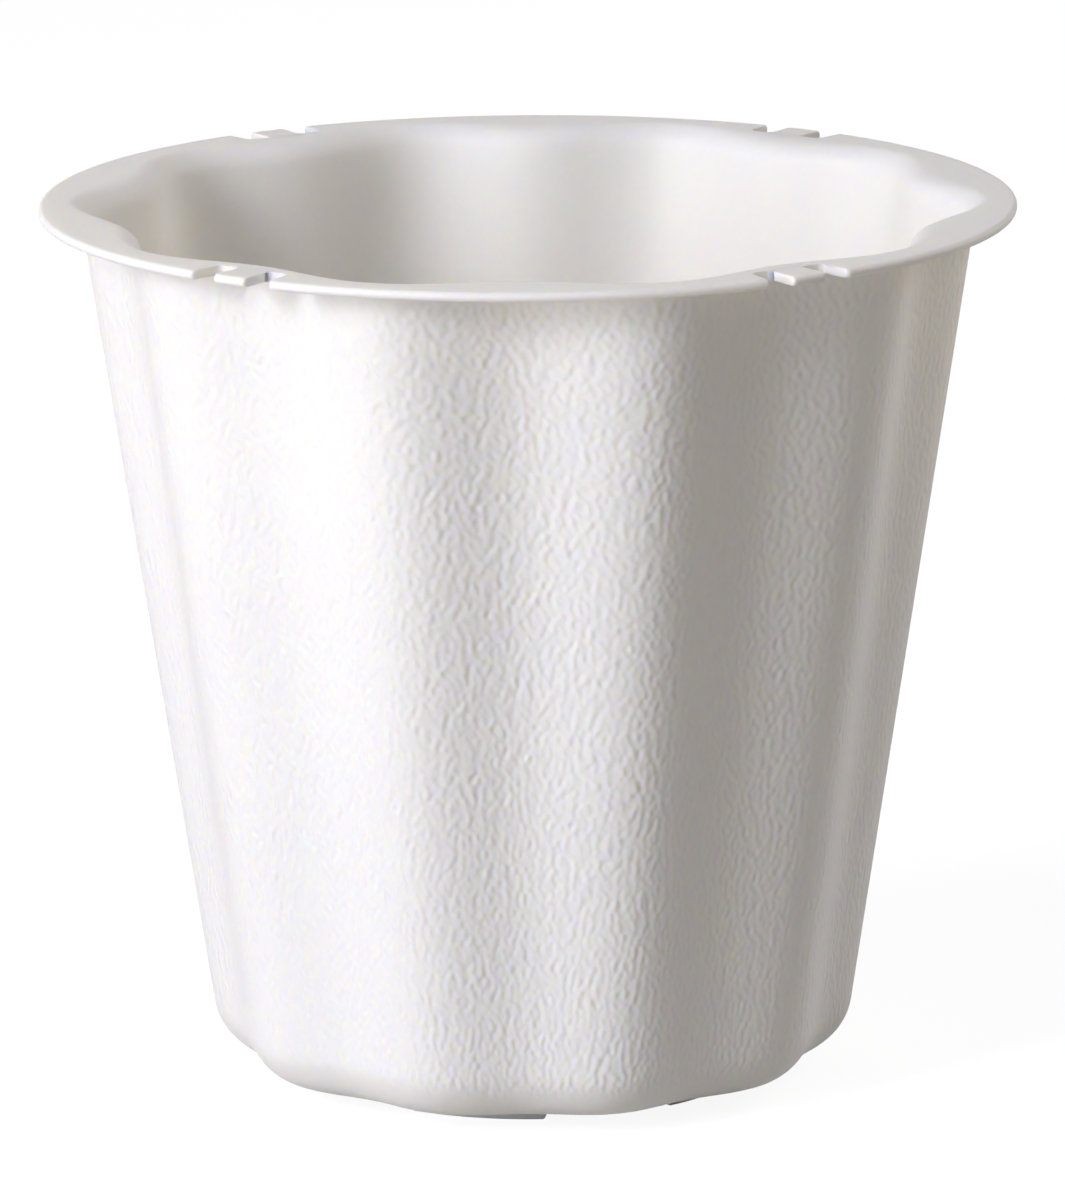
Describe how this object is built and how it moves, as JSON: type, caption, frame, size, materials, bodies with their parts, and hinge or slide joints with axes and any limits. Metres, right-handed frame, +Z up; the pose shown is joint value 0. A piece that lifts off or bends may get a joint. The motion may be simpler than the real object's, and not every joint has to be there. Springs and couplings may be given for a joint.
{
  "type": "plastic planter pot",
  "caption": "Tapered fluted plastic planter pot with a grained wall, a rounded base on a broken foot ring, and a flat rim flange with slit-freed springy tabs for a clip-on hanger.",
  "frame": {"origin": "centre of the base, on the surface that the pot stands on", "axes": "+Z up along the pot's axis, -Y towards the front, +X to the right as seen from the front"},
  "size_m": [0.2, 0.2, 0.1825],
  "materials": {
    "white_plastic": "satin white moulding, with a fine grain on the outside of the wall"
  },
  "bodies": {
    "pot": {"pot_shell": "white_plastic"},
    "tab_front_left": {"hanger_tab_front_left": "white_plastic"},
    "tab_front_right": {"hanger_tab_front_right": "white_plastic"},
    "tab_back_left": {"hanger_tab_back_left": "white_plastic"},
    "tab_back_right": {"hanger_tab_back_right": "white_plastic"}
  },
  "joints": [
    {"name": "tab_front_left_bend", "type": "hinge", "parent": "pot", "child": "tab_front_left", "pos_m": [-0.05263, -0.07516, 0.1815], "axis": [0.8192, -0.5736, 0], "range_deg": [-10, 10], "stiffness_Nm_per_rad": 0.5},
    {"name": "tab_front_right_bend", "type": "hinge", "parent": "pot", "child": "tab_front_right", "pos_m": [0.05263, -0.07516, 0.1815], "axis": [0.8192, 0.5736, 0], "range_deg": [-10, 10], "stiffness_Nm_per_rad": 0.5},
    {"name": "tab_back_left_bend", "type": "hinge", "parent": "pot", "child": "tab_back_left", "pos_m": [-0.05263, 0.07516, 0.1815], "axis": [-0.8192, -0.5736, 0], "range_deg": [-10, 10], "stiffness_Nm_per_rad": 0.5},
    {"name": "tab_back_right_bend", "type": "hinge", "parent": "pot", "child": "tab_back_right", "pos_m": [0.05263, 0.07516, 0.1815], "axis": [-0.8192, 0.5736, 0], "range_deg": [-10, 10], "stiffness_Nm_per_rad": 0.5}
  ]
}
